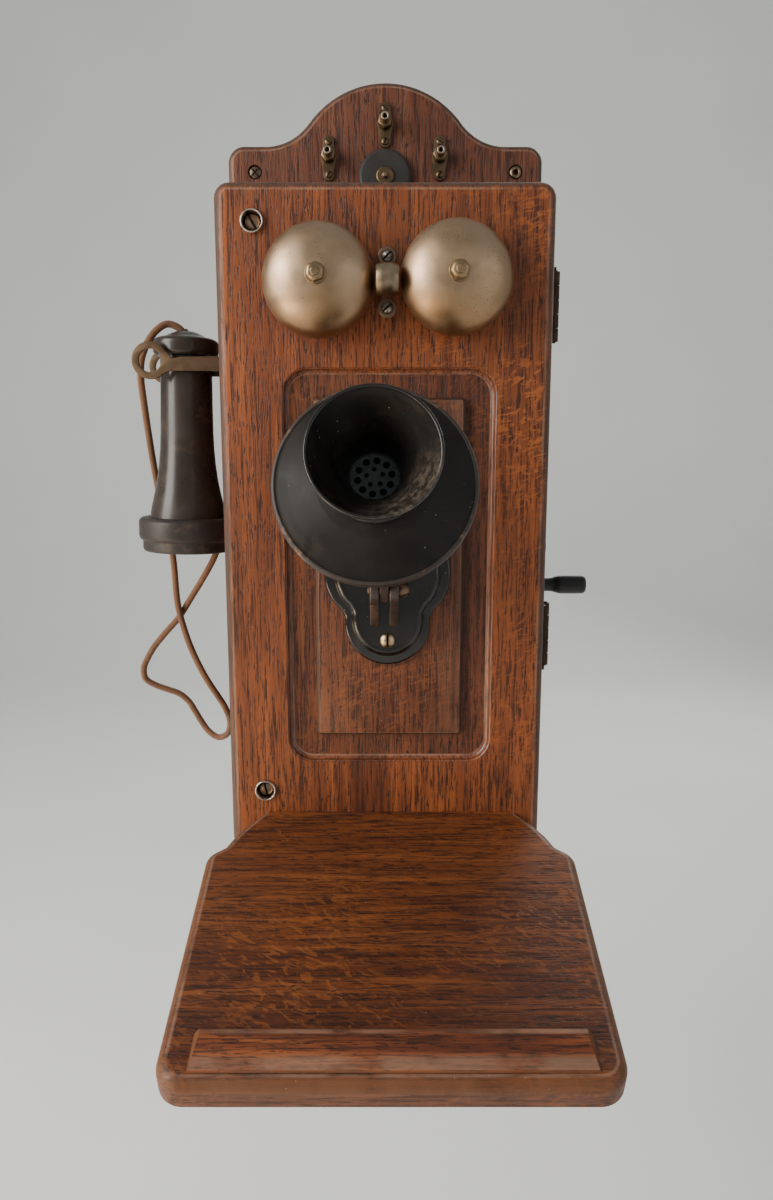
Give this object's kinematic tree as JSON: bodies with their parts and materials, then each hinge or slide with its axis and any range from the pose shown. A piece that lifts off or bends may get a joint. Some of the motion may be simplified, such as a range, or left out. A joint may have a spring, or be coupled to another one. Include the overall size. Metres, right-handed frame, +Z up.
{
  "type": "wall telephone",
  "caption": "Antique wooden wall telephone with a hinged front, ringer gongs, tilting transmitter, hung receiver, hand crank and sloping shelf.",
  "frame": {"origin": "on the wall, at the backboard's back face, on its centre line", "axes": "+Z up, +Y into the wall, +X to the right of someone facing the telephone"},
  "size_m": [0.3207, 0.2965, 0.5471],
  "materials": {
    "backboard": "dark oiled quarter-sawn oak",
    "wall_screw_left": "dark patina",
    "wall_screw_right": "dark patina",
    "cabinet_side_left": "dark oiled quarter-sawn oak",
    "cabinet_side_right": "dark oiled quarter-sawn oak",
    "cabinet_top": "dark oiled quarter-sawn oak",
    "cabinet_bottom": "dark oiled quarter-sawn oak",
    "cord_bushing": "dark patina",
    "binding_post_left": "aged brass",
    "binding_post_centre": "aged brass",
    "binding_post_right": "aged brass",
    "arrester_disc": "dark grey carbon",
    "door_board": "dark oiled quarter-sawn oak",
    "hinge_frame_leaf_upper": "dark patina",
    "hinge_door_leaf_upper": "dark patina",
    "hinge_frame_leaf_lower": "dark patina",
    "hinge_door_leaf_lower": "dark patina",
    "cup_washer_upper": "worn nickel plate",
    "lock_screw_upper": "dark patina",
    "cup_washer_lower": "worn nickel plate",
    "lock_screw_lower": "dark patina",
    "gong_left": "worn nickel over brass, satin",
    "gong_bolt_left": "aged brass",
    "gong_right": "worn nickel over brass, satin",
    "gong_bolt_right": "aged brass",
    "ringer_frame": "black",
    "ringer_coil_left": "cotton-covered winding",
    "ringer_coil_right": "cotton-covered winding",
    "ringer_screw_upper": "worn nickel plate",
    "ringer_screw_lower": "worn nickel plate",
    "clapper": "aged brass",
    "transmitter_base": "glossy black japan",
    "base_screw": "aged brass",
    "faceplate": "matte black, worn",
    "transmitter_cup": "matte black, worn",
    "mouthpiece": "hard rubber, semi-gloss",
    "carbon_button": "dark grey carbon",
    "transmitter_screen": "matte black, worn",
    "transmitter_arm": "black",
    "pivot_screw": "aged brass",
    "receiver_shell": "hard rubber, semi-gloss",
    "ear_cap": "hard rubber, semi-gloss",
    "receiver_top": "hard rubber, semi-gloss",
    "receiver_magnet": "black",
    "receiver_cord": "braided cotton",
    "hook_lever": "dark patina",
    "hook_switch": "worn nickel plate",
    "crank_arm": "worn nickel plate",
    "crank_handle": "hard rubber, semi-gloss",
    "crank_bearing": "aged brass",
    "drive_gear": "aged brass",
    "magneto_armature": "worn nickel plate",
    "magneto_magnets": "black",
    "magneto_frame": "black",
    "induction_coil": "cotton-covered winding",
    "condenser": "worn nickel plate",
    "shelf_board": "dark oiled quarter-sawn oak",
    "shelf_ledge": "dark oiled quarter-sawn oak",
    "shelf_bracket_left": "dark oiled quarter-sawn oak",
    "shelf_bracket_right": "dark oiled quarter-sawn oak"
  },
  "bodies": {
    "root": {"backboard": "backboard", "wall_screw_left": "wall_screw_left", "wall_screw_right": "wall_screw_right", "cabinet_side_left": "cabinet_side_left", "cabinet_side_right": "cabinet_side_right", "cabinet_top": "cabinet_top", "cabinet_bottom": "cabinet_bottom", "cord_bushing": "cord_bushing", "binding_post_left": "binding_post_left", "binding_post_centre": "binding_post_centre", "binding_post_right": "binding_post_right", "arrester_disc": "arrester_disc", "hinge_frame_leaf_upper": "hinge_frame_leaf_upper", "hinge_frame_leaf_lower": "hinge_frame_leaf_lower", "hook_switch": "hook_switch", "crank_bearing": "crank_bearing", "magneto_magnets": "magneto_magnets", "magneto_frame": "magneto_frame", "induction_coil": "induction_coil", "condenser": "condenser"},
    "door": {"door_board": "door_board", "hinge_door_leaf_upper": "hinge_door_leaf_upper", "hinge_door_leaf_lower": "hinge_door_leaf_lower", "cup_washer_upper": "cup_washer_upper", "cup_washer_lower": "cup_washer_lower", "gong_left": "gong_left", "gong_right": "gong_right", "gong_bolt_left": "gong_bolt_left", "gong_bolt_right": "gong_bolt_right", "ringer_frame": "ringer_frame", "ringer_coil_left": "ringer_coil_left", "ringer_coil_right": "ringer_coil_right", "ringer_screw_upper": "ringer_screw_upper", "ringer_screw_lower": "ringer_screw_lower", "transmitter_base": "transmitter_base", "base_screw": "base_screw", "shelf_board": "shelf_board", "shelf_ledge": "shelf_ledge", "shelf_bracket_left": "shelf_bracket_left", "shelf_bracket_right": "shelf_bracket_right"},
    "lock_upper": {"lock_screw_upper": "lock_screw_upper"},
    "lock_lower": {"lock_screw_lower": "lock_screw_lower"},
    "clapper": {"clapper": "clapper"},
    "transmitter": {"faceplate": "faceplate", "transmitter_cup": "transmitter_cup", "mouthpiece": "mouthpiece", "carbon_button": "carbon_button", "transmitter_screen": "transmitter_screen", "transmitter_arm": "transmitter_arm", "pivot_screw": "pivot_screw"},
    "receiver": {"receiver_shell": "receiver_shell", "ear_cap": "ear_cap", "receiver_top": "receiver_top", "receiver_magnet": "receiver_magnet", "receiver_cord": "receiver_cord"},
    "hook": {"hook_lever": "hook_lever"},
    "crank": {"crank_arm": "crank_arm", "drive_gear": "drive_gear"},
    "crank_grip": {"crank_handle": "crank_handle"},
    "armature": {"magneto_armature": "magneto_armature"}
  },
  "joints": [
    {"name": "door_hinge", "type": "hinge", "parent": "root", "child": "door", "pos_m": [0.1021, -0.10385, 0], "axis": [0, 0, 1], "range_deg": [0, 100]},
    {"name": "lock_upper_turn", "type": "hinge", "parent": "door", "child": "lock_upper", "pos_m": [-0.0762, -0.124, 0.1723], "axis": [0, -1, 0], "range_deg": [0, 360]},
    {"name": "lock_lower_turn", "type": "hinge", "parent": "door", "child": "lock_lower", "pos_m": [-0.0762, -0.124, -0.1702], "axis": [0, -1, 0], "range_deg": [0, 360]},
    {"name": "clapper_swing", "type": "hinge", "parent": "door", "child": "clapper", "pos_m": [0.0013, -0.082, 0.1], "axis": [0, 1, 0], "range_deg": [-1.1, 1.1]},
    {"name": "transmitter_tilt", "type": "hinge", "parent": "door", "child": "transmitter", "pos_m": [-0.0005, -0.146, -0.038], "axis": [1, 0, 0], "range_deg": [-18, 25]},
    {"name": "receiver_lift", "type": "slide", "parent": "root", "child": "receiver", "axis": [-0.7071, 0, 0.7071], "range_m": [0, 0.08], "deforming": ["receiver_cord"]},
    {"name": "hook_pivot", "type": "hinge", "parent": "root", "child": "hook", "pos_m": [-0.076, -0.072, 0.0964], "axis": [0, 1, 0], "range_deg": [0, 8]},
    {"name": "crank_spin", "type": "hinge", "parent": "root", "child": "crank", "pos_m": [0.1053, -0.058, -0.0211], "axis": [1, 0, 0], "continuous": true},
    {"name": "handle_spin", "type": "hinge", "parent": "crank", "child": "crank_grip", "pos_m": [0.1053, -0.0395, -0.0504], "axis": [1, 0, 0], "continuous": true},
    {"name": "armature_spin", "type": "hinge", "parent": "root", "child": "armature", "pos_m": [0.0775, -0.058, -0.0511], "axis": [1, 0, 0], "continuous": true}
  ],
  "couplings": [
    {"joint": "hook_pivot", "follows": "receiver_lift", "rad_per_m": 1.7453},
    {"joint": "armature_spin", "follows": "crank_spin", "ratio": -4}
  ]
}
